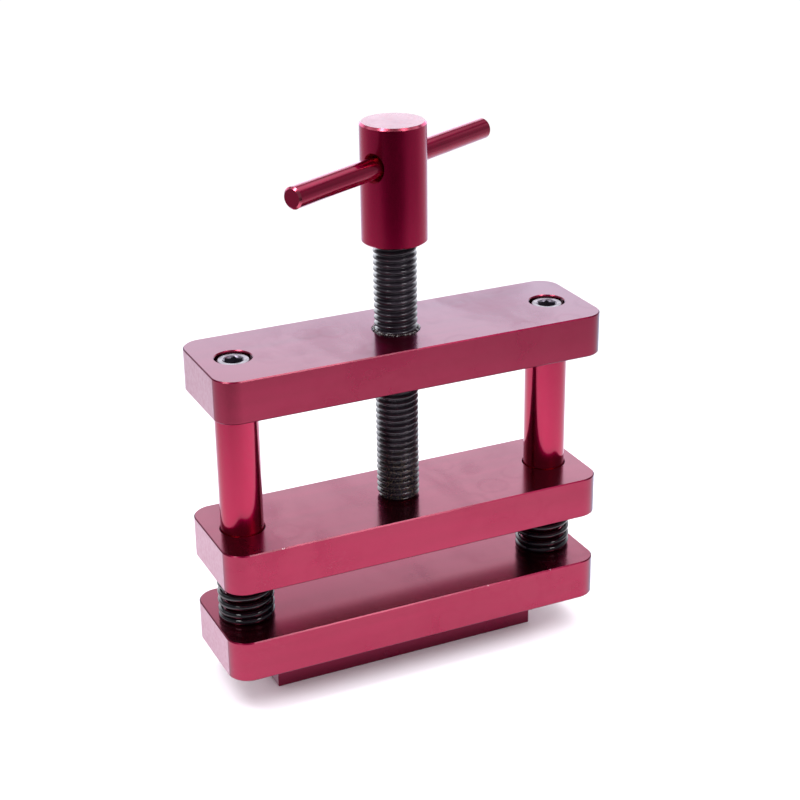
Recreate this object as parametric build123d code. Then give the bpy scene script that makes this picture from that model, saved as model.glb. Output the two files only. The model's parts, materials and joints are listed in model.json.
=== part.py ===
from build123d import *
import math
import os

# Twin-post screw press, gripped by its tang in a bench vise.
# Millimetres, +Z up, X along the plates. The origin is under the middle of the tang.

inch = 25.4

# Plates: base, pressure and top plate are cut from the same bar
plate_length = 6 * inch
plate_depth = 1.75 * inch
plate_thickness = 0.625 * inch
plate_corner_radius = 8.0
plate_edge_break = 0.4

# Heights with the press as it is stored, part closed
press_gap = 19.8  # base plate to pressure plate
daylight = 86.6  # base plate to top plate
hub_lift = 33.7  # top plate to the underside of the hub

# Guide posts
post_diameter = 0.625 * inch
post_inset = 0.525 * inch  # plate end to post axis
post_seat_depth = 3.0  # locating pocket in the base and top plates
post_end_chamfer = 0.5
seat_clearance = 0.02  # radial, parts that don't move on each other
sliding_clearance = 0.05  # radial, pressure plate on the posts
bore_chamfer = 0.5

# Socket head cap screws that hold the plates to the posts
post_screw_diameter = 0.3125 * inch
post_screw_head_diameter = 0.469 * inch
post_screw_head_height = 0.3125 * inch
post_screw_hex = 0.25 * inch
post_screw_length = 1.25 * inch
post_screw_recess = 0.8  # head below the plate's face
counterbore_clearance = 0.75  # radial, round a screw head
counterbore_chamfer = 0.3
hole_clearance = 0.25  # radial, screw through a plate
thread_clearance = 0.02  # radial, fastener threads are drawn plain
tapped_extra_depth = 2.5  # tapped hole beyond the screw's end
cap_screw_head_chamfer = 0.5
cap_screw_tip_chamfer = 0.1  # as a share of the thread's diameter

# Tang under the base plate
tang_width = 0.5 * inch
tang_height = 0.625 * inch
tang_end_to_post = 0.35 * inch  # tang's end to the post axis
tang_edge_break = 0.3
tang_screw_diameter = 0.25 * inch
tang_screw_head_diameter = 0.375 * inch
tang_screw_head_height = 0.25 * inch
tang_screw_hex = 0.1875 * inch
tang_screw_length = 0.75 * inch
tang_screw_recess = 0.8
tang_screw_from_end = 0.9 * inch
tang_counterbore_clearance = 0.35

# Return springs: closed and ground ends, round the posts
spring_wire = 2.2
spring_clearance = 0.45  # radial, coil to post
spring_closed_turns = 1.0  # at each end
spring_active_turns = 4.0
spring_coil_touch = 0.05  # left between closed coils
spring_ground = 0.5  # ground off each end
spring_start_angle = 150  # degrees from +X to the lower end

# Clamp screw, 5/8-11
screw_diameter = 0.625 * inch
screw_pitch = inch / 11
screw_thread_depth = 1.25
screw_crest_share = 0.125  # flat on the crest, as a share of the pitch
screw_root_share = 0.25
screw_end_chamfer = 1.2
screw_running_clearance = 0.05  # radial, screw in the top plate
screw_bore_chamfer = 1.0
spigot_diameter = 0.5 * inch  # turned down end inside the hub
spigot_length = 20.0
spigot_extra_depth = 1.5

# Handle
hub_diameter = 0.9375 * inch
hub_height = 43.2
hub_chamfer = 0.8
hub_lower_chamfer = 0.4
bar_diameter = 7.8
bar_length = 110.0
bar_end_chamfer = 0.7
bar_below_hub_top = 14.4
bar_angle = 27.9  # degrees from +X
bar_mouth_diameter = 10.8  # countersink round the bar
set_screw_diameter = 0.25 * inch
set_screw_hex = 0.125 * inch
set_screw_hex_depth = 2.5
set_screw_recess = 0.6  # below the hub's side
set_screw_chamfer = 0.4
set_screw_above_hub_base = 9.0

# Places that follow from the sizes above
post_x = plate_length / 2 - post_inset
base_bottom = tang_height
base_top = base_bottom + plate_thickness
pressure_bottom = base_top + press_gap
pressure_top = pressure_bottom + plate_thickness
top_bottom = base_top + daylight
top_top = top_bottom + plate_thickness
hub_bottom = top_top + hub_lift
hub_top = hub_bottom + hub_height
bar_height = hub_top - bar_below_hub_top
tang_length = 2 * (post_x - tang_end_to_post)
tang_screw_x = tang_length / 2 - tang_screw_from_end
sides = {"left": -1, "right": 1}
overshoot = 1.0  # how far a cutter runs past the face it opens


def upright_cylinder(diameter, low, high, x=0.0):
    """A cylinder on a vertical axis at x, from height low to height high."""
    return Pos(x, 0, (low + high) / 2) * Cylinder(diameter / 2, high - low)


def upright_cone(low_diameter, high_diameter, low, high, x=0.0):
    """A cone on a vertical axis at x, given its two end diameters."""
    return Pos(x, 0, (low + high) / 2) * Cone(low_diameter / 2, high_diameter / 2, high - low)


def plate_blank(bottom):
    """One bar plate with round corners and broken edges, before it is drilled."""
    blank = extrude(RectangleRounded(plate_length, plate_depth, plate_corner_radius), plate_thickness)
    faces = blank.faces().sort_by(Axis.Z)
    blank = chamfer(faces[0].edges() + faces[-1].edges(), plate_edge_break)
    return Pos(0, 0, bottom) * blank


def chamfered_bore(diameter, low, high, size, x=0.0):
    """A through bore with its chamfer at both mouths, as one cutter."""
    wide = diameter + 2 * size
    bore = upright_cylinder(diameter, low - overshoot, high + overshoot, x)
    bore += upright_cone(wide, diameter, low, low + size, x)
    bore += upright_cone(diameter, wide, high - size, high, x)
    return bore


def post_screw_cutter(plate_low, plate_high, x, head_up):
    """Counterbore, clearance hole and post pocket through one end plate."""
    counterbore = post_screw_head_diameter + 2 * counterbore_clearance
    mouth = counterbore + 2 * counterbore_chamfer
    depth = post_screw_head_height + post_screw_recess
    pocket = post_diameter + 2 * seat_clearance
    below = plate_low - overshoot
    above = plate_high + overshoot
    cutter = upright_cylinder(post_screw_diameter + 2 * hole_clearance, below, above, x)
    if head_up:
        cutter += upright_cylinder(counterbore, plate_high - depth, above, x)
        cutter += upright_cone(counterbore, mouth, plate_high - counterbore_chamfer, plate_high, x)
        cutter += upright_cylinder(pocket, below, plate_low + post_seat_depth, x)
    else:
        cutter += upright_cylinder(counterbore, below, plate_low + depth, x)
        cutter += upright_cone(mouth, counterbore, plate_low, plate_low + counterbore_chamfer, x)
        cutter += upright_cylinder(pocket, plate_high - post_seat_depth, above, x)
    return cutter


def hex_socket(across_flats, face, depth):
    """Cutter for a hexagon socket in the face at height face."""
    hexagon = RegularPolygon(across_flats / 2, 6, major_radius=False)
    return Pos(0, 0, face - depth) * extrude(hexagon, depth + overshoot)


def cap_screw(diameter, head_diameter, head_height, hex_size, length):
    """Socket head cap screw standing on its tip: head up, seat at z = 0."""
    shank = upright_cylinder(diameter, -length, 0)
    shank = chamfer(shank.edges().sort_by(Axis.Z)[0], diameter * cap_screw_tip_chamfer)
    head = upright_cylinder(head_diameter, 0, head_height)
    head = chamfer(head.edges().sort_by(Axis.Z)[-1], cap_screw_head_chamfer)
    return shank + head - hex_socket(hex_size, head_height, head_height / 2)


def post_screw(x, head_up):
    """The cap screw that clamps one end plate onto one post."""
    screw = cap_screw(
        post_screw_diameter, post_screw_head_diameter, post_screw_head_height,
        post_screw_hex, post_screw_length,
    )
    depth = post_screw_head_height + post_screw_recess
    if head_up:
        return Pos(x, 0, top_top - depth) * screw
    return Pos(x, 0, base_bottom + depth) * Rot(180, 0, 0) * screw


def guide_post(x):
    """Round post, tapped at both ends and seated in both end plates."""
    low = base_top - post_seat_depth
    high = top_bottom + post_seat_depth
    post = upright_cylinder(post_diameter, low, high, x)
    rims = post.edges().filter_by(GeomType.CIRCLE)
    post = chamfer(rims, post_end_chamfer)
    head = post_screw_head_height + post_screw_recess
    reach = head + post_screw_length + tapped_extra_depth
    tapped = post_screw_diameter + 2 * thread_clearance
    post -= upright_cylinder(tapped, top_top - reach, high + overshoot, x)
    post -= upright_cylinder(tapped, low - overshoot, base_bottom + reach, x)
    return post


def base_plate():
    """Lower plate: posts screwed on from below, two tapped holes for the tang."""
    plate = plate_blank(base_bottom)
    for side in sides.values():
        plate -= post_screw_cutter(base_bottom, base_top, side * post_x, head_up=False)
        plate -= tang_tapped_hole(side * tang_screw_x)
    return plate


def tang_seat():
    """Height of the face that a tang screw's head bears on."""
    return tang_screw_head_height + tang_screw_recess


def tang_tapped_hole(x):
    """Blind tapped hole in the base plate for one tang screw."""
    end = tang_seat() + tang_screw_length + tapped_extra_depth
    tapped = tang_screw_diameter + 2 * thread_clearance
    return upright_cylinder(tapped, base_bottom - overshoot, end, x)


def vise_tang():
    """Bar under the base plate that the vise jaws grip."""
    tang = Pos(0, 0, tang_height / 2) * Box(tang_length, tang_width, tang_height)
    tang = chamfer(tang.edges(), tang_edge_break)
    counterbore = tang_screw_head_diameter + 2 * tang_counterbore_clearance
    hole = tang_screw_diameter + 2 * hole_clearance
    for side in sides.values():
        x = side * tang_screw_x
        tang -= upright_cylinder(hole, -overshoot, tang_height + overshoot, x)
        tang -= upright_cylinder(counterbore, -overshoot, tang_seat(), x)
    return tang


def tang_screw(x):
    """Cap screw from below, through the tang into the base plate."""
    screw = cap_screw(
        tang_screw_diameter, tang_screw_head_diameter, tang_screw_head_height,
        tang_screw_hex, tang_screw_length,
    )
    return Pos(x, 0, tang_seat()) * Rot(180, 0, 0) * screw


def pressure_plate():
    """Middle plate, bored to slide on both posts."""
    plate = plate_blank(pressure_bottom)
    bore = post_diameter + 2 * sliding_clearance
    for side in sides.values():
        plate -= chamfered_bore(bore, pressure_bottom, pressure_top, bore_chamfer, side * post_x)
    return plate


def top_plate():
    """Upper plate, which carries the clamp screw's thread at its middle."""
    plate = plate_blank(top_bottom)
    for side in sides.values():
        plate -= post_screw_cutter(top_bottom, top_top, side * post_x, head_up=True)
    bore = screw_diameter + 2 * screw_running_clearance
    plate -= chamfered_bore(bore, top_bottom, top_top, screw_bore_chamfer)
    return plate


def helix_run(radius, start_height, pitch, turns, start_angle):
    """One stretch of the spring's centreline."""
    run = Helix(pitch=pitch, height=pitch * turns, radius=radius)
    return Pos(0, 0, start_height) * Rot(0, 0, start_angle) * run


def return_spring(x):
    """Compression spring: closed coil, open coils, closed coil, both ends ground flat."""
    radius = post_diameter / 2 + spring_clearance + spring_wire / 2
    closed_pitch = spring_wire + spring_coil_touch
    first = spring_wire / 2 - spring_ground
    closed_rise = closed_pitch * spring_closed_turns
    open_rise = press_gap - 2 * (first + closed_rise)
    open_angle = spring_start_angle + 360 * spring_closed_turns
    last_angle = open_angle + 360 * spring_active_turns
    centreline = Wire([
        helix_run(radius, first, closed_pitch, spring_closed_turns, spring_start_angle),
        helix_run(radius, first + closed_rise, open_rise / spring_active_turns,
                  spring_active_turns, open_angle),
        helix_run(radius, first + closed_rise + open_rise, closed_pitch,
                  spring_closed_turns, last_angle),
    ])
    section = Plane(origin=centreline @ 0, z_dir=centreline % 0) * Circle(spring_wire / 2)
    coil = sweep(section, path=centreline, is_frenet=True)
    span = 4 * radius
    between_plates = Pos(0, 0, press_gap / 2) * Box(span, span, press_gap)
    return Pos(x, 0, base_top) * (coil & between_plates)


def thread_profile(low, high):
    """Half section of the threaded length: one ridge per pitch, out to the crest."""
    crest = screw_diameter / 2
    root = crest - screw_thread_depth
    flank = (1 - screw_crest_share - screw_root_share) / 2 * screw_pitch
    crest_flat = screw_crest_share * screw_pitch
    root_flat = screw_root_share * screw_pitch
    ridges = int((high - low - root_flat) / screw_pitch)
    points = [(0, low), (root, low)]
    height = low + (high - low - ridges * screw_pitch + root_flat) / 2
    for _ in range(ridges):
        points.append((root, height))
        points.append((crest, height + flank))
        points.append((crest, height + flank + crest_flat))
        points.append((root, height + 2 * flank + crest_flat))
        height += screw_pitch
    return points + [(root, high)]


def clamp_screw():
    """Clamp screw: ridged length, chamfered lower end, plain spigot in the hub."""
    spigot_top = hub_bottom + spigot_length
    spigot = spigot_diameter / 2
    outline = thread_profile(pressure_top, hub_bottom)
    outline += [(spigot, hub_bottom), (spigot, spigot_top), (0, spigot_top)]
    half = make_face(Plane.XZ * Polyline(*outline, close=True))
    screw = revolve(half, Axis.Z)
    end = screw_diameter - 2 * screw_end_chamfer
    clear = screw_diameter + 2 * screw_end_chamfer
    chamfer_top = pressure_top + 2 * screw_end_chamfer
    envelope = upright_cone(end, clear, pressure_top, chamfer_top)
    envelope += upright_cylinder(clear, chamfer_top, spigot_top + overshoot)
    return screw & envelope


def along_bar(shape):
    """Turns a shape on the Z axis to lie along the tommy bar."""
    return Pos(0, 0, bar_height) * Rot(0, 0, bar_angle) * Rot(0, 90, 0) * shape


def along_set_screw(shape):
    """Turns a shape on the Z axis to point out of the hub's back, square to the bar."""
    height = hub_bottom + set_screw_above_hub_base
    return Pos(0, 0, height) * Rot(0, 0, bar_angle + 90) * Rot(0, 90, 0) * shape


def handle_hub():
    """Hub with a blind bore for the spigot, a cross hole for the bar and a tapped side hole."""
    hub = upright_cylinder(hub_diameter, hub_bottom, hub_top)
    rims = hub.edges().filter_by(GeomType.CIRCLE).sort_by(Axis.Z)
    hub = chamfer(rims[-1], hub_chamfer)
    hub = chamfer(hub.edges().filter_by(GeomType.CIRCLE).sort_by(Axis.Z)[0], hub_lower_chamfer)
    bore = spigot_diameter + 2 * seat_clearance
    bore_top = hub_bottom + spigot_length + spigot_extra_depth
    hub -= upright_cylinder(bore, hub_bottom - overshoot, bore_top)
    hole = bar_diameter + 2 * seat_clearance
    hub -= along_bar(Cylinder(hole / 2, 2 * hub_diameter))
    side = hub_diameter / 2
    depth = (bar_mouth_diameter - hole) / 2
    mouth = upright_cone(hole, bar_mouth_diameter + 2 * overshoot, side - depth, side + overshoot)
    for turn in (0, 180):
        hub -= along_bar(Rot(turn, 0, 0) * mouth)
    tapped = set_screw_diameter + 2 * thread_clearance
    hub -= along_set_screw(upright_cylinder(tapped, 0, side + overshoot))
    return hub


def tommy_bar():
    """Plain bar through the hub, chamfered at both ends."""
    bar = Cylinder(bar_diameter / 2, bar_length)
    bar = chamfer(bar.edges().filter_by(GeomType.CIRCLE), bar_end_chamfer)
    return along_bar(bar)


def hub_set_screw():
    """Set screw in the hub's back, tip against the spigot."""
    tip = spigot_diameter / 2 + seat_clearance
    radius = set_screw_diameter / 2
    flush = math.sqrt((hub_diameter / 2) ** 2 - radius ** 2)
    end = flush - set_screw_recess
    screw = upright_cylinder(set_screw_diameter, tip, end)
    screw = chamfer(screw.edges().filter_by(GeomType.CIRCLE), set_screw_chamfer)
    return along_set_screw(screw - hex_socket(set_screw_hex, end, set_screw_hex_depth))


def all_parts():
    """Every piece by its node name."""
    parts = {
        "base_plate": base_plate(),
        "vise_tang": vise_tang(),
        "pressure_plate": pressure_plate(),
        "top_plate": top_plate(),
        "clamp_screw": clamp_screw(),
        "handle_hub": handle_hub(),
        "tommy_bar": tommy_bar(),
        "hub_set_screw": hub_set_screw(),
    }
    for name, side in sides.items():
        parts["guide_post_" + name] = guide_post(side * post_x)
        parts["return_spring_" + name] = return_spring(side * post_x)
        parts["top_cap_screw_" + name] = post_screw(side * post_x, head_up=True)
        parts["base_cap_screw_" + name] = post_screw(side * post_x, head_up=False)
        parts["tang_screw_" + name] = tang_screw(side * tang_screw_x)
    return parts


os.makedirs("parts", exist_ok=True)
for node, solid in all_parts().items():
    export_step(solid, "parts/" + node + ".step")
    print(node, round(solid.volume), "mm3")
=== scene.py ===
import json
import math
import bpy
import numpy as np
from mathutils import Matrix, Vector


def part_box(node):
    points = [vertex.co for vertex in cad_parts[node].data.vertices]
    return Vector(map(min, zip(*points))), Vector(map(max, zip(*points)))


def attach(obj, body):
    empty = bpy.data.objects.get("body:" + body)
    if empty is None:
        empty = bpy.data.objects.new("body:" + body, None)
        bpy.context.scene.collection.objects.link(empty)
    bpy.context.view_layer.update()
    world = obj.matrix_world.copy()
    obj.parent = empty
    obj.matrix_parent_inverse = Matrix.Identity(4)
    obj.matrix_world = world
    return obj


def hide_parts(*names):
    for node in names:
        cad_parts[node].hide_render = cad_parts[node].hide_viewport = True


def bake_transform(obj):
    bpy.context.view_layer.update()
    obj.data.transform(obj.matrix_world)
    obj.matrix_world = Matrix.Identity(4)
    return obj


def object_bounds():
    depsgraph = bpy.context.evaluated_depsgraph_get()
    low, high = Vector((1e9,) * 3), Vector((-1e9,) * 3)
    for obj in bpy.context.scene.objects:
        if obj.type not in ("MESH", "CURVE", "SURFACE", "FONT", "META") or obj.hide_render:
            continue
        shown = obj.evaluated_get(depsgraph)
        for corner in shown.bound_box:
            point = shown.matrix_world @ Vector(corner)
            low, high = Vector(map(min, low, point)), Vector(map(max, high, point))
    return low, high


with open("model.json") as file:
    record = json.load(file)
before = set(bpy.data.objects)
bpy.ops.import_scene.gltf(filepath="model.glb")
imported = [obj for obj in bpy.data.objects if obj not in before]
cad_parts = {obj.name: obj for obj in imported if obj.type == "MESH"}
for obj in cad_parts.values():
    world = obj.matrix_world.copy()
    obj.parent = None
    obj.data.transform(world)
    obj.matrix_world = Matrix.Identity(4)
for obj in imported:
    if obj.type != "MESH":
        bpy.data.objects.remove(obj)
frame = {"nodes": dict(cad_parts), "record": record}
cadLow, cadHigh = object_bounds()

mm = 0.001
inch = 25.4 * mm
fullTurn = 2 * math.pi

cameraLook = {
    "azimuth": -24.75,          # degrees, 0 looks along +Y
    "elevation": 23.374,
    "roll": -0.819,
    "distance": 646.7 * mm,
    "aimAcross": 1.24 * mm,     # aim point beside the middle of the press
    "aimHeight": 105.4 * mm,
    "lens": 78.49,
}


def placeCamera(look):
    # camera = aim + distance * (sin a cos e, -cos a cos e, sin e), then rolled about its own axis
    a, e = math.radians(look["azimuth"]), math.radians(look["elevation"])
    back = Vector((math.sin(a) * math.cos(e), -math.cos(a) * math.cos(e), math.sin(e)))
    camera = bpy.data.objects.new("camera", bpy.data.cameras.new("camera"))
    bpy.context.scene.collection.objects.link(camera)
    camera.location = Vector((look["aimAcross"], 0, look["aimHeight"])) + back * look["distance"]
    roll = Matrix.Rotation(math.radians(look["roll"]), 3, "Z")
    camera.rotation_euler = ((-back).to_track_quat("-Z", "Y").to_matrix() @ roll).to_euler()
    camera.data.lens = look["lens"]
    camera.data.clip_start, camera.data.clip_end = 0.01, 50
    bpy.context.scene.camera = camera


placeCamera(cameraLook)
print("camera placed")


class Flow:
    # one socket of a node sheet; operators on it add Math nodes
    def __init__(self, sheet, socket):
        self.sheet, self.socket = sheet, socket

    def maths(self, operation, *others, clamp=False):
        return self.sheet.add("ShaderNodeMath", {"operation": operation, "use_clamp": clamp}, self, *others)

    def __add__(self, other):
        return self.maths("ADD", other)

    def __sub__(self, other):
        return self.maths("SUBTRACT", other)

    def __mul__(self, other):
        return self.maths("MULTIPLY", other)

    def __truediv__(self, other):
        return self.maths("DIVIDE", other)

    def __pow__(self, other):
        return self.maths("POWER", other)

    def __radd__(self, other):
        return self + other

    def __rsub__(self, other):
        return self.sheet.add("ShaderNodeMath", {"operation": "SUBTRACT"}, other, self)

    def __rtruediv__(self, other):
        return self.sheet.add("ShaderNodeMath", {"operation": "DIVIDE"}, other, self)

    def clamped(self):
        return self.maths("ADD", 0, clamp=True)

    def absolute(self):
        return self.maths("ABSOLUTE")

    def larger(self, other):
        return self.maths("MAXIMUM", other)

    def ramp(self, low, high):
        # 0 below low, 1 above high, a smooth step between
        smooth = {"interpolation_type": "SMOOTHSTEP"}
        return self.sheet.add("ShaderNodeMapRange", smooth, self, low, high, 0.0, 1.0)


class Sheet:
    # the node tree of one material or of the world
    def __init__(self, tree):
        self.tree = tree
        tree.nodes.clear()

    def add(self, kind, settings=None, *values, out=0, **named):
        # settings go on the node first; then sockets get values or links, by place or by name
        node = self.tree.nodes.new(kind)
        for key, value in (settings or {}).items():
            if key == "stops":
                self.setStops(node.color_ramp, value)
            else:
                setattr(node, key, value)
        for place, value in enumerate(values):
            self.feed(node.inputs[place], value)
        for name, value in named.items():
            self.feed(node.inputs[name.replace("_", " ")], value)
        self.last = node
        return Flow(self, node.outputs[out]) if node.outputs else None

    def feed(self, socket, value):
        if isinstance(value, Flow):
            self.tree.links.new(value.socket, socket)
        elif hasattr(socket.default_value, "__len__") and len(socket.default_value) == 4:
            socket.default_value = (*value, 1.0)
        else:
            socket.default_value = value

    def setStops(self, ramp, stops):
        while len(ramp.elements) < len(stops):
            ramp.elements.new(1.0)
        for element, (place, colour) in zip(ramp.elements, stops):
            element.position = place
            element.color = (*colour, 1.0)

    def axes(self, vector):
        # x, y and z of a vector
        self.add("ShaderNodeSeparateXYZ", None, vector)
        return [Flow(self, socket) for socket in self.last.outputs]

    def along(self, axis):
        # how far the face's own normal lies along an axis of the piece, 0 to 1
        inWorld = self.add("ShaderNodeNewGeometry", out=3)
        turned = {"vector_type": "NORMAL", "convert_from": "WORLD", "convert_to": "OBJECT"}
        normal = self.add("ShaderNodeVectorTransform", turned, inWorld)
        share = self.add("ShaderNodeVectorMath", {"operation": "DOT_PRODUCT"}, normal, axis, out=1)
        return share.absolute()

    def place(self, stretch=(1, 1, 1), turn=(0, 0, 0)):
        # object coordinates in metres, turned and stretched
        here = self.add("ShaderNodeTexCoord", out=3)
        return self.add("ShaderNodeMapping", {"vector_type": "POINT"}, here, (0, 0, 0), turn, stretch)

    def noise(self, where, scale, detail=3.0, roughness=0.5, distortion=0.0):
        return self.add("ShaderNodeTexNoise", {"noise_dimensions": "3D"}, Vector=where, Scale=scale,
                        Detail=detail, Roughness=roughness, Distortion=distortion)

    def mixColour(self, share, first, second):
        node = self.tree.nodes.new("ShaderNodeMix")
        node.data_type = "RGBA"
        self.feed(node.inputs["Factor"], share)
        self.feed(node.inputs[6], first)
        self.feed(node.inputs[7], second)
        return Flow(self, node.outputs[2])

    def bump(self, height, distance):
        # height times distance is the relief, in metres
        return self.add("ShaderNodeBump", None, Height=height, Distance=distance, Strength=1.0)


def newFinish(name, build):
    material = bpy.data.materials.new(name)
    material.use_nodes = True
    sheet = Sheet(material.node_tree)
    surface = build(sheet)
    sheet.add("ShaderNodeOutputMaterial", None, Surface=surface)
    return material


def dress(piece, material):
    piece.data.materials.clear()
    piece.data.materials.append(material)


# what all the anodised pieces share
anodised = {
    "bareMetal": (0.62, 0.45, 0.50),
    "scratchAngle": (0.2, 0.3, 1.1), "scratchDepth": 0.6,
    "drawnLines": 1500.0, "broadLines": 240.0, "mottle": 700.0,    # noise scales, per metre
    "cloud": 34.0, "patch": 17.0, "scratches": 420.0, "nicks": 380.0, "sawMarks": 900.0,
    "dropSpacing": 15 * mm, "dropSize": 0.36, "dropShare": 0.25,
    "edgeRough": 0.17, "edgeCoatLoss": 0.6, "edgeShare": 0.6,
    "relief": 0.0008 * mm, "sawRelief": 0.0006 * mm,
}

# dye: deep red seen through the oxide; faced: the colour of the sawn or faced ends, which lie across
# facedAxis; edgeTone: the colour of the chamfers, which lean 45 degrees to chamferAxis
platePolish = {
    "dye": (0.275, 0.0008, 0.039), "dyeDeep": (0.23, 0.0005, 0.030),
    "rough": 0.205, "coatRough": 0.17, "coatIndex": 1.44, "haze": 0.14, "coatLoss": 0.26, "relief": 0.12,
    "edgeTint": (0.08, 0.1, 0.5),        # at grazing angles the dye swallows the metal
    "grain": (0.05, 1.0, 1.0),           # the bar was drawn along X
    "smearStretch": (1.0, 0.45, 1.0), "smearTurn": (0, 0, 0.7),
    "facedAxis": (1, 0, 0), "faced": (0.50, 0.33, 0.40), "facedRough": 0.45,
    "chamferAxis": (0, 0, 1), "edgeTone": (0.04, 0.0005, 0.008),
    "edgeFrom": (73 * mm, 19.4 * mm),    # the plate's outline lies beyond these, along X and Y
}
# the tang's darker dye is painted shade: the plate finish darkened for the shade under the base plate
tangShadedPolish = dict(platePolish, dye=(0.20, 0.0006, 0.035), dyeDeep=(0.16, 0.0005, 0.028), coatIndex=1.35)
turnedPolish = {
    "dye": (0.345, 0.0008, 0.044), "dyeDeep": (0.29, 0.0005, 0.034),
    "rough": 0.20, "coatRough": 0.05, "coatIndex": 1.28, "haze": 0.05, "coatLoss": 0.1, "relief": 0.25,
    "edgeTint": (0.5, 0.25, 0.5),
    "grain": (1.0, 1.0, 0.05),           # polished along their own axis
    "smearStretch": (1.0, 1.0, 0.3), "smearTurn": (0, 0, 0),
    "facedAxis": (0, 0, 1), "faced": (0.24, 0.133, 0.17), "facedRough": 0.3,
    "chamferAxis": (0, 0, 1), "edgeTone": (0.40, 0.06, 0.10),    # thin dye on the turned chamfers
    "edgeFrom": None,
}
postPolish = dict(turnedPolish, dye=(0.365, 0.0008, 0.048), dyeDeep=(0.32, 0.0005, 0.038), coatIndex=1.42)
barCorners = [vertex.co for vertex in frame["nodes"]["tommy_bar"].data.vertices]
barTip = max(barCorners, key=lambda corner: corner.xy.length)
# the bar's dye is darker than the hub's: painted shade for the darker reflections along the bar
barShadedPolish = dict(turnedPolish, dye=(0.26, 0.0008, 0.032), dyeDeep=(0.22, 0.0005, 0.025),
                 chamferAxis=Vector((barTip.x, barTip.y, 0)).normalized(), facedAxis=None)


def anodisedFinish(sheet, polish):
    # metal under a dyed clear oxide: drawing lines, wiping marks, dried drops, a few scratches,
    # and small bare nicks on the plates' sharp outer edges
    look = anodised
    plain = sheet.place()
    drawn = sheet.place(polish["grain"])
    lines = sheet.noise(drawn, look["drawnLines"], 4.0, 0.6)
    broad = sheet.noise(drawn, look["broadLines"], 2.0)
    wiped = sheet.place(polish["smearStretch"], polish["smearTurn"])
    cloud = sheet.noise(wiped, look["cloud"], 5.0, 0.6, 0.5)
    patch = sheet.noise(plain, look["patch"], 3.0, 0.5)
    mottle = sheet.noise(plain, look["mottle"], 3.0, 0.6)
    # a scratch is where a long thin noise crosses its middle value
    scratchField = sheet.noise(sheet.place((1, 0.04, 1), look["scratchAngle"]), look["scratches"], 1.0, 0.3)
    scratch = 1 - (scratchField - 0.5).absolute().ramp(0.0, 0.004)
    scratch = scratch * cloud.ramp(0.56, 0.64)
    # a dried drop's rim is a ring at one distance from its centre, bent by the cloud
    drop = sheet.add("ShaderNodeTexVoronoi", None, Vector=plain, Scale=1 / look["dropSpacing"])
    drop = 1 - (drop + (cloud - 0.5) * 0.45 - look["dropSize"]).absolute().ramp(0.0, 0.10)
    drop = drop * patch.ramp(0.42, 0.6)
    smear = cloud.ramp(0.38, 0.66) * patch.ramp(0.3, 0.65) + drop * look["dropShare"]
    depth = (broad - 0.5) * 1.3 + (mottle - 0.5) * 0.5 + 0.4
    colour = sheet.mixColour(depth.clamped(), polish["dye"], polish["dyeDeep"])
    bare = scratch * 0.15
    # the chamfers are the only faces that lean 45 degrees to their axis
    leaning = 1 - (sheet.along(polish["chamferAxis"]) - math.sqrt(0.5)).absolute().ramp(0.05, 0.15)
    edgeDull, edgeShare = 0.0, leaning
    if polish["edgeFrom"]:
        # the outer chamfers are near the outline, and the others round the holes are half as dull
        alongX, alongY, _ = sheet.axes(plain)
        nearEnd = alongX.absolute().maths("GREATER_THAN", polish["edgeFrom"][0])
        nearSide = alongY.absolute().maths("GREATER_THAN", polish["edgeFrom"][1])
        edgeDull = leaning * (0.5 + nearEnd.larger(nearSide) * 0.5)
        edgeShare = edgeDull * look["edgeShare"]
        nick = sheet.noise(plain, look["nicks"], 4.0, 0.7).ramp(0.66, 0.70) * patch.ramp(0.45, 0.6)
        bare = (bare + nick * edgeDull * 0.9).clamped()
    colour = sheet.mixColour(edgeShare, colour, polish["edgeTone"])
    colour = sheet.mixColour(bare, colour, look["bareMetal"])
    roughness = polish["rough"] + smear * polish["haze"] + (lines - 0.5) * 0.05 + bare * 0.15
    roughness = roughness + edgeDull * look["edgeRough"]
    coat = (1 - smear * polish["coatLoss"] - bare * 0.6) * (1 - edgeDull * look["edgeCoatLoss"])
    relief = (lines - 0.5) * polish["relief"] + (mottle - 0.5) * 0.25 * polish["relief"]
    relief = relief - scratch * look["scratchDepth"]
    polished = sheet.add("ShaderNodeBsdfPrincipled", None, Base_Color=colour, Metallic=1.0,
                         Roughness=roughness.clamped(), Specular_Tint=polish["edgeTint"],
                         Coat_Weight=coat.clamped(), Coat_Roughness=polish["coatRough"],
                         Coat_IOR=polish["coatIndex"], Normal=sheet.bump(relief, look["relief"]))
    if not polish["facedAxis"]:
        return polished
    # the ends were cut across the bar and took the dye as a paler satin
    faced = sheet.along(polish["facedAxis"]).ramp(0.985, 0.998)
    sawn = sheet.noise(sheet.place((1, 1, 0.08)), look["sawMarks"], 3.0, 0.6)
    satin = sheet.mixColour(mottle.ramp(0.3, 0.8) * 0.25, polish["faced"], polish["dye"])
    satinRough = polish["facedRough"] + (sawn - 0.5) * 0.12 + smear * 0.06
    satinFace = sheet.add("ShaderNodeBsdfPrincipled", None, Base_Color=satin, Metallic=1.0,
                          Roughness=satinRough.clamped(), Normal=sheet.bump(sawn, look["sawRelief"]))
    return sheet.add("ShaderNodeMixShader", None, faced, polished, satinFace)


plateRed = newFinish("anodisedPlate", lambda sheet: anodisedFinish(sheet, platePolish))
tangShadedRed = newFinish("anodisedTangShaded", lambda sheet: anodisedFinish(sheet, tangShadedPolish))
turnedRed = newFinish("anodisedTurned", lambda sheet: anodisedFinish(sheet, turnedPolish))
postRed = newFinish("anodisedPost", lambda sheet: anodisedFinish(sheet, postPolish))
barShadedRed = newFinish("anodisedBarShaded", lambda sheet: anodisedFinish(sheet, barShadedPolish))

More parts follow.
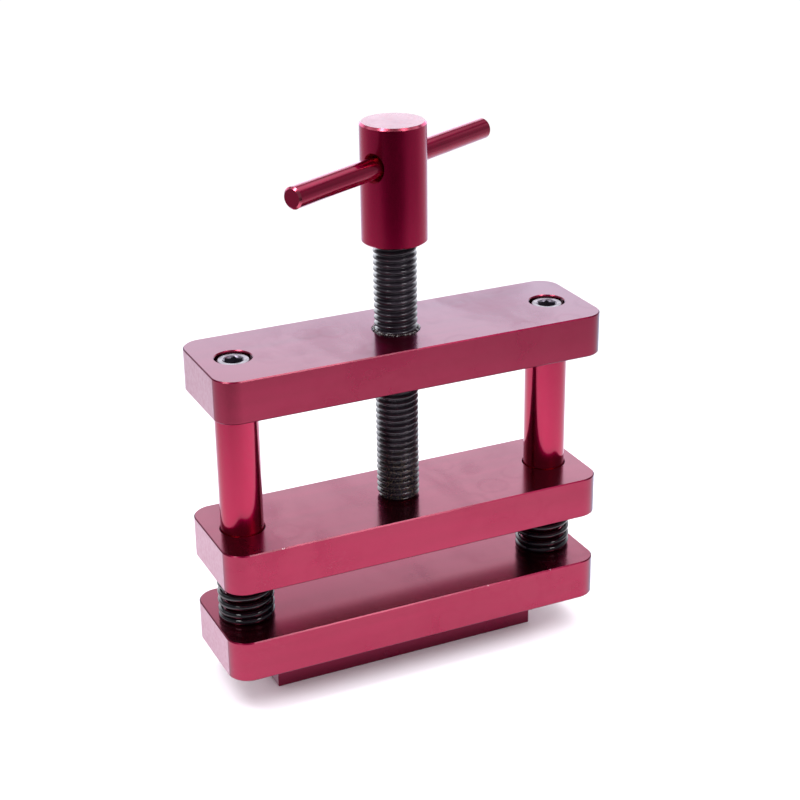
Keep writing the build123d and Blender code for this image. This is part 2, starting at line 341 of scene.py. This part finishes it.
oiledBlack = {
    "steel": (0.010, 0.007, 0.011), "worn": (0.028, 0.022, 0.030), "grease": (0.06, 0.045, 0.03),
    "rough": 0.22, "coat": 0.24, "metal": 0.35,
}
glossBlack = {
    "steel": (0.002, 0.0015, 0.003), "worn": (0.005, 0.004, 0.006), "grease": (0.02, 0.015, 0.01),
    "rough": 0.07, "coat": 0.0, "metal": 0.0,
}


def blackSteelFinish(sheet, look, greaseHeights):
    # black oxide with an oil film, thin on the wear spots, and specks of grease between two heights
    plain = sheet.place()
    patches = sheet.noise(plain, 150.0, 4.0, 0.6)
    specks = sheet.noise(plain, 1300.0, 2.0, 0.6)
    fine = sheet.noise(plain, 3000.0, 2.0, 0.5)
    height = sheet.axes(plain)[2]
    clean = height.ramp(*greaseHeights)
    grease = specks.ramp(0.50, 0.62) * (1 - clean)
    tone = sheet.mixColour(patches.ramp(0.35, 0.7), look["steel"], look["worn"])
    tone = sheet.mixColour(grease * 0.8, tone, look["grease"])
    roughness = look["rough"] + (patches - 0.5) * 0.25 - grease * 0.2
    relief = specks * (1 - clean) * 4 + fine * 0.4 + patches
    return sheet.add("ShaderNodeBsdfPrincipled", None, Base_Color=tone, Metallic=look["metal"],
                     Roughness=roughness.clamped(), Coat_Weight=look["coat"], Coat_Roughness=0.07,
                     Normal=sheet.bump(relief, 0.02 * mm))


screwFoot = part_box("clamp_screw")[0].z
greasy = (screwFoot + 6 * mm, screwFoot + 30 * mm)
screwBlack = newFinish("oiledBlackSteel", lambda sheet: blackSteelFinish(sheet, oiledBlack, greasy))
greaseless = (-2.0, -1.0)    # both heights are below the press
springBlack = newFinish("glossBlackWire", lambda sheet: blackSteelFinish(sheet, glossBlack, greaseless))

brightSteel = {
    # socket: the painted shade colour, reached at the bottom of the hexagon socket
    "steel": (0.23, 0.20, 0.225), "dark": (0.13, 0.11, 0.13), "socket": (0.08, 0.07, 0.10),
    "rough": 0.30,
}


def screwSteelFinish(sheet, look):
    # pale zinc, duller in patches, with painted shade that darkens it down the hexagon socket
    plain = sheet.place()
    patches = sheet.noise(plain, 420.0, 4.0, 0.6)
    fine = sheet.noise(sheet.place((1, 1, 6)), 2600.0, 2.0, 0.6)
    tone = sheet.mixColour(patches.ramp(0.3, 0.75), look["steel"], look["dark"])
    # painted shade: each point's share of the socket colour grows with its depth down the socket
    inSocket = sheet.add("ShaderNodeAttribute", {"attribute_name": "inSocket"}, out=2)
    tone = sheet.mixColour(inSocket, tone, look["socket"])
    roughness = look["rough"] + (patches - 0.5) * 0.3
    return sheet.add("ShaderNodeBsdfPrincipled", None, Base_Color=tone, Metallic=0.9,
                     Roughness=roughness.clamped(), Normal=sheet.bump(fine, 0.006 * mm))


boltSteel = newFinish("brightScrew", lambda sheet: screwSteelFinish(sheet, brightSteel))

finishOf = {
    "anodised_plate": plateRed,
    "anodised_polished": turnedRed,
    "spring_steel": springBlack,
    "black_steel": screwBlack,
    "bright_steel": boltSteel,
}
ownFinish = {
    "vise_tang": tangShadedRed, "guide_post_left": postRed, "guide_post_right": postRed, "tommy_bar": barShadedRed,
}
slotOf = {part["node"]: part["material_slot"] for part in frame["record"]["subparts"]}
for name, node in frame["nodes"].items():
    for place in node.material_slots:
        place.material = ownFinish.get(name, finishOf[slotOf[name]])
print("finishes made")


def meshPiece(name, points, faces, material, sharpAngle=35):
    mesh = bpy.data.meshes.new(name)
    mesh.from_pydata(points.tolist(), [], faces)
    mesh.update()
    mesh.shade_smooth()
    mesh.set_sharp_from_angle(angle=math.radians(sharpAngle))
    piece = bpy.data.objects.new(name, mesh)
    bpy.context.scene.collection.objects.link(piece)
    dress(piece, material)
    return piece


def gridFaces(rows, columns, wrap):
    # quads of a grid stored row by row; wrap joins the last column to the first
    row = np.arange(rows - 1)[:, None]
    column = np.arange(columns if wrap else columns - 1)[None, :]
    nextColumn = (column + 1) % columns
    corner = row * columns
    quads = np.stack([corner + column, corner + nextColumn,
                      corner + columns + nextColumn, corner + columns + column], axis=-1)
    return quads.reshape(-1, 4)


def capFan(firstIndex, columns, centreIndex, upwards):
    # triangles from one ring of a grid to its centre point
    ring = firstIndex + np.arange(columns)
    after = firstIndex + (np.arange(columns) + 1) % columns
    centre = np.full(columns, centreIndex)
    order = (ring, after, centre) if upwards else (after, ring, centre)
    return np.stack(order, axis=-1)


screwShape = {
    "pitch": inch / 11,
    "crestRadius": 0.3125 * inch,
    "depth": 1.27 * mm,
    "crestShare": 0.16,        # flat on the crest, as a share of half a pitch
    "rootShare": 0.12,
    "endChamfer": 1.2 * mm,
    "spigotLength": 20 * mm,
    "spigotRadius": 0.25 * inch,
    "rowsPerPitch": 18,
    "around": 80,
}


def smoothStep(value, low, high):
    share = np.clip((value - low) / (high - low), 0, 1)
    return share * share * (3 - 2 * share)


def clampScrewMesh(shape):
    # radius(angle, height) = crest - depth * step(|2 frac(height / pitch - angle / turn) - 1|),
    # never more than the end's chamfer cone
    low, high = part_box("clamp_screw")
    low, high = low.z, high.z - shape["spigotLength"]
    rows = int((high - low) / shape["pitch"] * shape["rowsPerPitch"])
    height = np.linspace(low, high, rows)[:, None]
    angle = np.arange(shape["around"])[None, :] * fullTurn / shape["around"]
    phase = (height - low) / shape["pitch"] - angle / fullTurn
    fromCrest = np.abs(2 * (phase - np.floor(phase)) - 1)
    groove = smoothStep(fromCrest, shape["crestShare"], 1 - shape["rootShare"])
    radius = shape["crestRadius"] - shape["depth"] * groove
    cone = shape["crestRadius"] - shape["endChamfer"] + (height - low)
    radius = np.minimum(radius, cone)
    points = np.stack([radius * np.cos(angle), radius * np.sin(angle), height + 0 * radius], axis=-1)
    points = points.reshape(-1, 3)
    spigot = ringPoints(shape["spigotRadius"], [high, high + shape["spigotLength"]], shape["around"])
    points = np.concatenate([points, spigot, [[0, 0, low], [0, 0, high + shape["spigotLength"]]]])
    count = shape["around"]
    faces = gridFaces(rows + 2, count, True).tolist()
    faces += capFan(0, count, len(points) - 2, False).tolist()
    faces += capFan((rows + 1) * count, count, len(points) - 1, True).tolist()
    return points, faces


def ringPoints(radius, heights, count):
    angle = np.arange(count) * fullTurn / count
    x, y = radius * np.cos(angle), radius * np.sin(angle)
    return np.concatenate([np.stack([x, y, np.full(count, height)], axis=-1) for height in heights])


screwPoints, screwFaces = clampScrewMesh(screwShape)
clampScrew = meshPiece("clampScrewThread", screwPoints, screwFaces, screwBlack, 50)
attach(clampScrew, "screw")
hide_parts("clamp_screw")
print("clamp screw made")


springShape = {
    "wire": 1.1 * mm,           # radius
    "closedTurns": 1.0,
    "openTurns": 4.0,
    "startAngle": math.radians(150),
    "closedPitch": 2.25 * mm,
    "opening": 0.12,            # turns over which the pitch changes, each way
    "ground": 0.5 * mm,
    "stepsPerTurn": 72,
    "around": 20,
}


def springPiece(side, shape):
    # centre line: (R cos a, R sin a, h(a)), where h climbs by the closed pitch at both ends and by the
    # open pitch between; the wire is a circle carried along it, and the ends are cut flat by the plates
    low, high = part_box("return_spring_" + side)
    middle = (low + high) / 2
    ringRadius = (high.x - low.x) / 2 - shape["wire"]
    turns = 2 * shape["closedTurns"] + shape["openTurns"]
    angle = np.linspace(0, turns, int(turns * shape["stepsPerTurn"]) + 1)
    first = shape["wire"] - shape["ground"]
    openRise = (high.z - low.z) - 2 * (first + shape["closedPitch"] * shape["closedTurns"])
    openPitch = openRise / shape["openTurns"]
    fromEnd = np.minimum(angle, turns - angle)
    opening = shape["opening"]
    isOpen = smoothStep(fromEnd, shape["closedTurns"] - opening, shape["closedTurns"] + opening)
    climb = shape["closedPitch"] + (openPitch - shape["closedPitch"]) * isOpen
    rise = np.concatenate([[0], np.cumsum((climb[1:] + climb[:-1]) / 2 * np.diff(angle))])
    rise = first + rise * ((high.z - low.z) - 2 * first) / rise[-1]
    turn = angle * fullTurn + shape["startAngle"]
    outward = np.stack([np.cos(turn), np.sin(turn), 0 * turn], axis=-1)
    centre = outward * ringRadius + np.stack([0 * turn, 0 * turn, rise], axis=-1)
    section = np.arange(shape["around"]) * fullTurn / shape["around"]
    points = centre[:, None, :] + shape["wire"] * (
        np.cos(section)[None, :, None] * outward[:, None, :]
        + np.sin(section)[None, :, None] * np.array([0, 0, 1.0])
    )
    points[..., 2] = np.clip(points[..., 2], 0, high.z - low.z)
    count = shape["around"]
    points = np.concatenate([points.reshape(-1, 3), centre[:1], centre[-1:]])
    points += np.array([middle.x, middle.y, low.z])
    last = (len(angle) - 1) * count
    faces = gridFaces(len(angle), count, True)[:, ::-1]
    faces = faces.tolist() + capFan(0, count, len(points) - 2, True).tolist()
    faces += capFan(last, count, len(points) - 1, False).tolist()
    piece = meshPiece("returnSpring_" + side, points, faces, springBlack, 50)
    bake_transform(piece)
    # the wire has a round section; a share of 0 to 1 for each point, by its centre's place along the open
    # turns, is computed and nothing reads it
    share = np.clip((angle - shape["closedTurns"]) / shape["openTurns"], 0, 1)
    share = np.concatenate([np.repeat(share, count), [0, 1]]).astype(np.float32)
    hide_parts("return_spring_" + side)


for side in ("left", "right"):
    springPiece(side, springShape)
print("springs made")


postScrewShape = {
    "thread": 0.3125 * inch, "pitch": inch / 18, "length": 1.25 * inch,
    "head": 0.469 * inch, "headHeight": 0.3125 * inch, "hex": 0.25 * inch,
    "headChamfer": 0.5 * mm, "knurlDepth": 0.12 * mm, "knurls": 48,
    "mouth": 3.85 * mm, "mouthDepth": 0.7 * mm, "socketDepth": 0.156 * inch, "socketCone": 1.2 * mm,
}
tangScrewShape = {
    "thread": 0.25 * inch, "pitch": inch / 20, "length": 0.75 * inch,
    "head": 0.375 * inch, "headHeight": 0.25 * inch, "hex": 0.1875 * inch,
    "headChamfer": 0.45 * mm, "knurlDepth": 0.10 * mm, "knurls": 40,
    "mouth": 2.95 * mm, "mouthDepth": 0.6 * mm, "socketDepth": 0.125 * inch, "socketCone": 0.9 * mm,
}
hair = 0.01 * mm      # keeps the thread off the bare hole
threadDepth = 0.54    # of a 60 degree thread, as a share of the pitch


def capScrewMesh(shape):
    # one closed surface of rows round the axis, from the middle of the tip up the thread and the knurled
    # head and down into the socket. The thread's radius is
    # crest - depth * step(|2 frac(height / pitch - angle / turn) - 1|), the knurl's is
    # radius - depth * sin(knurls / 2 * angle) squared, the hexagon's is apothem / cos(angle from a flat)
    count = shape["knurls"] * 4
    angle = np.arange(count) * fullTurn / count
    crest = shape["thread"] / 2 - hair
    depth = threadDepth * shape["pitch"]
    tip, seat, top = -shape["length"], 0.0, shape["headHeight"]
    rows = []

    def row(radius, height):
        x, y = radius * np.cos(angle), radius * np.sin(angle)
        rows.append(np.stack([x, y, height + np.zeros(count)], axis=-1))

    steps = int(shape["length"] / shape["pitch"] * 10)
    for height in np.linspace(tip, seat - 0.4 * mm, steps):
        phase = (height - tip) / shape["pitch"] - angle / fullTurn
        groove = smoothStep(np.abs(2 * (phase - np.floor(phase)) - 1), 0.1, 0.9)
        cone = crest - depth * 0.9 + (height - tip) * 1.2
        row(np.minimum(crest - depth * groove, cone), height)
    row(np.full(count, crest), seat)
    side = shape["head"] / 2
    knurl = side - shape["knurlDepth"] * np.sin(angle * shape["knurls"] / 2) ** 2
    bevel = shape["headChamfer"]
    row(np.full(count, side - 0.3 * mm), seat)
    row(knurl, seat + 0.3 * mm)
    row(knurl, top - bevel)
    row(np.full(count, side - 0.3 * bevel), top - 0.55 * bevel)
    row(np.full(count, side - bevel), top)
    flat = np.mod(angle + math.pi / 6, math.pi / 3) - math.pi / 6
    hexagon = shape["hex"] / 2 / np.cos(flat)
    outside = len(rows)
    row(np.full(count, shape["mouth"] + 0.08 * mm), top)
    row(np.full(count, shape["mouth"]), top - 0.05 * mm)
    # the mouth is a cone, so the hexagon's flats start lower down than its corners
    fall = shape["mouthDepth"] * (shape["mouth"] - hexagon) / (shape["mouth"] - shape["hex"] / 2)
    row(hexagon, top - 0.05 * mm - fall)
    row(hexagon, top - shape["socketDepth"])
    floor = top - shape["socketDepth"] - shape["socketCone"]
    points = np.concatenate(rows + [np.array([[0, 0, tip], [0, 0, floor]])])
    # painted shade for each row, 0 to 1 and growing with how far down the socket it is, then the same for
    # the two middle points
    shares = np.repeat([0.0] * (outside + 1) + [0.35, 0.9, 1.0], count)
    inSocket = np.concatenate([shares, [0.0, 1.0]]).astype(np.float32)
    faces = gridFaces(len(rows), count, True).tolist()
    faces += capFan(0, count, len(points) - 2, False).tolist()
    faces += capFan((len(rows) - 1) * count, count, len(points) - 1, True).tolist()
    return points, faces, inSocket


def capScrewPiece(node, shape, turn):
    # its head is up in the top plate and down in the base plate and the tang
    low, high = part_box(node)
    points, faces, inSocket = capScrewMesh(shape)
    points = points @ np.array(Matrix.Rotation(turn, 3, "Z")).T
    if node.startswith("top"):
        points[:, 2] += high.z - shape["headHeight"]
    else:
        points = points * np.array([1, -1, -1])
        points[:, 2] += low.z + shape["headHeight"]
    points[:, :2] += np.array([(low.x + high.x) / 2, (low.y + high.y) / 2])
    piece = meshPiece(node + "_threaded", points, faces, boltSteel, 30)
    # the painted shade share goes on the points, for the finish to read
    piece.data.attributes.new("inSocket", "FLOAT", "POINT").data.foreach_set("value", inSocket)
    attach(piece, "frame")
    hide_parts(node)


for side, turn in (("left", 0.615), ("right", 0.58)):
    capScrewPiece("top_cap_screw_" + side, postScrewShape, turn)
    capScrewPiece("base_cap_screw_" + side, postScrewShape, turn + 0.6)
    capScrewPiece("tang_screw_" + side, tangScrewShape, turn + 0.2)
print("cap screws made")


greaseLook = {
    "ringRadius": 8.1 * mm, "ringTube": 0.5 * mm, "ringAround": 260, "tubeAround": 14,
    "colour": (0.016, 0.007, 0.008), "crumb": (0.40, 0.33, 0.30),
}


def greaseFinish(sheet):
    # dark wet grease with pale crumbs in it
    plain = sheet.place()
    crumbs = sheet.noise(plain, 2100.0, 2.0, 0.6).ramp(0.63, 0.68)
    lumps = sheet.noise(plain, 1100.0, 3.0, 0.6)
    tone = sheet.mixColour(crumbs, greaseLook["colour"], greaseLook["crumb"])
    relief = sheet.bump(lumps + crumbs * 0.3, 0.2 * mm)
    return sheet.add("ShaderNodeBsdfPrincipled", None, Base_Color=tone, Roughness=0.12 + lumps * 0.3,
                     Coat_Weight=0.6, Coat_Roughness=0.05, Normal=relief)


def greaseRing(look):
    # a bead pressed out of the thread: a ring whose tube swells and shrinks by a sum of sines round it
    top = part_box("top_plate")[1].z
    around, section = look["ringAround"], look["tubeAround"]
    angle = np.arange(around)[:, None] * fullTurn / around
    lump = 0.75 + 0.4 * np.sin(5 * angle + 0.6) * np.sin(11 * angle + 2.0) + 0.3 * np.sin(23 * angle + 1.0)
    lump = lump + 0.25 * np.sin(47 * angle) * np.sin(3 * angle + 1.2)
    lump = lump + 1.1 * np.exp(-((angle - 3.45) / 0.16) ** 2) + 0.9 * np.exp(-((angle - 5.95) / 0.13) ** 2)
    tube = look["ringTube"] * np.clip(lump, 0.3, 2.4)
    turn = np.arange(section)[None, :] * fullTurn / section
    ripple = 0.12 * mm * np.sin(19 * turn + 31 * angle) + 0.1 * mm * np.sin(9 * angle + 0.4)
    radius = look["ringRadius"] + ripple + tube * np.cos(turn)
    height = top + 0.1 * mm + np.maximum(tube * np.sin(turn) * 0.9, -0.08 * mm)
    points = np.stack([radius * np.cos(angle), radius * np.sin(angle), height + 0 * radius], axis=-1)
    rows = np.arange(around)[:, None]
    columns = np.arange(section)[None, :]
    nextRow, nextColumn = (rows + 1) % around, (columns + 1) % section
    quads = np.stack([rows * section + columns, nextRow * section + columns,
                      nextRow * section + nextColumn, rows * section + nextColumn], axis=-1)
    grease = newFinish("wetGrease", greaseFinish)
    piece = meshPiece("screwGrease", points.reshape(-1, 3), quads.reshape(-1, 4).tolist(), grease, 60)
    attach(piece, "frame")


greaseRing(greaseLook)
print("grease made")


stageLook = {
    "floorRadius": 700 * mm, "below": 0.02 * mm,
    "halfLight": 340 * mm,               # distance at which the floor has lost half its light
    "edgeFrom": 350 * mm, "edgeTo": 560 * mm,    # the paper ends towards the camera
    "paper": (0.86, 0.82, 0.88),
}


def heading(fromCamera):
    # unit vector on the floor, at an angle from the way to the camera
    a = math.radians(cameraLook["azimuth"] + fromCamera)
    return math.sin(a), -math.cos(a)


def makeFloor(look):
    count = 96
    rings = [0.2 * look["halfLight"], look["halfLight"], look["floorRadius"]]
    height = cadLow.z - look["below"]
    points = ringPoints(1.0, [height] * len(rings), count)
    points[:, :2] *= np.repeat(rings, count)[:, None]
    points = np.concatenate([points, [[0, 0, height]]])
    faces = gridFaces(len(rings), count, True)[:, ::-1]
    faces = faces.tolist() + capFan(0, count, len(points) - 1, True).tolist()

    def build(sheet):
        x, y, _ = sheet.axes(sheet.place())
        away = (x * x + y * y) ** 0.5
        headX, headY = heading(0)
        towards = x * headX + y * headY
        shown = 1 / (1 + (away / look["halfLight"]) ** 3)
        shown = shown * (1 - away.ramp(0.7 * look["floorRadius"], 0.995 * look["floorRadius"]))
        shown = shown * (1 - towards.ramp(look["edgeFrom"], look["edgeTo"]))
        paper = sheet.add("ShaderNodeBsdfPrincipled", None, Base_Color=look["paper"], Roughness=0.6,
                          Specular_IOR_Level=0.2)
        clear = sheet.add("ShaderNodeBsdfTransparent", None)
        return sheet.add("ShaderNodeMixShader", None, shown, clear, paper)

    floor = meshPiece("floor", points, faces, newFinish("paper", build))


pressMiddle = 100 * mm
lampDistance = 800 * mm
softBoxes = {
    # angle from the camera and elevation in degrees, width and height in metres, power in watts
    "leftSoftBox": (-54, 60, (0.22, 0.30), 3.5),
    "rightSoftBox": (55, 53, (0.20, 0.42), 3.8),
}


def softBox(name, fromCamera, elevation, size, power):
    # a soft box (width, height) on a sphere about the middle of the press, facing it
    headX, headY = heading(fromCamera)
    e = math.radians(elevation)
    back = Vector((headX * math.cos(e), headY * math.cos(e), math.sin(e)))
    data = bpy.data.lights.new(name, "AREA")
    data.shape, data.size, data.size_y, data.energy = "RECTANGLE", size[0], size[1], power
    lamp = bpy.data.objects.new(name, data)
    bpy.context.scene.collection.objects.link(lamp)
    lamp.location = Vector((0, 0, pressMiddle)) + back * lampDistance
    lamp.rotation_euler = (-back).to_track_quat("-Z", "Y").to_euler()


# brightness round the horizon, as (cosine of the angle from the camera, brightness)
worldLook = {
    "above": [(-1.0, 2.98), (-0.8, 2.75), (-0.6, 1.8), (-0.35, 0.5), (-0.1, 0.36), (0.5, 0.32), (1.0, 0.3)],
    "below": [(-1.0, 1.2), (-0.77, 1.3), (-0.5, 0.9), (0.0, 0.5), (0.6, 0.33), (0.9, 0.065), (1.0, 0.04)],
    "overhead": 0.24, "highBehind": 2.2,      # a broad light hangs high up behind
    "tint": (0.95, 0.98, 1.05),
    # heights of a view line (1 is straight up) over which one part passes into the next
    "floorLine": (-0.06, 0.05), "overheadFrom": (0.42, 0.56),
    "hungFrom": (0.56, 0.70), "hungTo": (0.80, 1.08),
    "hungAround": (0.15, 0.5),    # 0 is straight behind, 1 is towards the camera
    "fill": 1.42,       # what lights the dull surfaces
    "backdrop": 1.05,   # what the camera sees
    "brightest": 3.0,
}


def makeWorld(look):
    world = bpy.data.worlds.new("studio")
    bpy.context.scene.world = world
    world.use_nodes = True
    sheet = Sheet(world.node_tree)
    x, y, z = sheet.axes(sheet.add("ShaderNodeTexCoord", out=0))
    headX, headY = heading(0)
    towards = (x * headX + y * headY) / (x * x + y * y + 1e-6) ** 0.5
    share = towards * 0.5 + 0.5

    def horizon(name):
        # a ramp holds no more than 1, so its stops are shares of the brightest
        stops = [((cosine + 1) / 2, (value / look["brightest"],) * 3) for cosine, value in look[name]]
        return sheet.add("ShaderNodeValToRGB", {"stops": stops}, share) * look["brightest"]

    above, below = horizon("above"), horizon("below")
    high = z.ramp(*look["overheadFrom"])
    above = above * (1 - high) + high * look["overhead"]
    hung = z.ramp(*look["hungFrom"]) * (1 - z.ramp(*look["hungTo"])) * (1 - share.ramp(*look["hungAround"]))
    above = above + hung * look["highBehind"]
    upper = z.ramp(*look["floorLine"])
    painted = sheet.add("ShaderNodeBackground", None, look["tint"], above * upper + below * (1 - upper))
    plain = sheet.add("ShaderNodeBackground", None, (1, 1, 1), look["fill"])
    white = sheet.add("ShaderNodeBackground", None, (1, 1, 1), look["backdrop"])
    isCamera = sheet.add("ShaderNodeLightPath", None, out=0)
    isGlossy = Flow(sheet, sheet.last.outputs[3])
    seen = sheet.add("ShaderNodeMixShader", None, isGlossy, plain, painted)
    seen = sheet.add("ShaderNodeMixShader", None, isCamera, seen, white)
    sheet.add("ShaderNodeOutputWorld", None, Surface=seen)


makeFloor(stageLook)
makeWorld(worldLook)
for name, box in softBoxes.items():
    softBox(name, *box)
bpy.context.scene.view_settings.view_transform = "Standard"
print("stage lit")
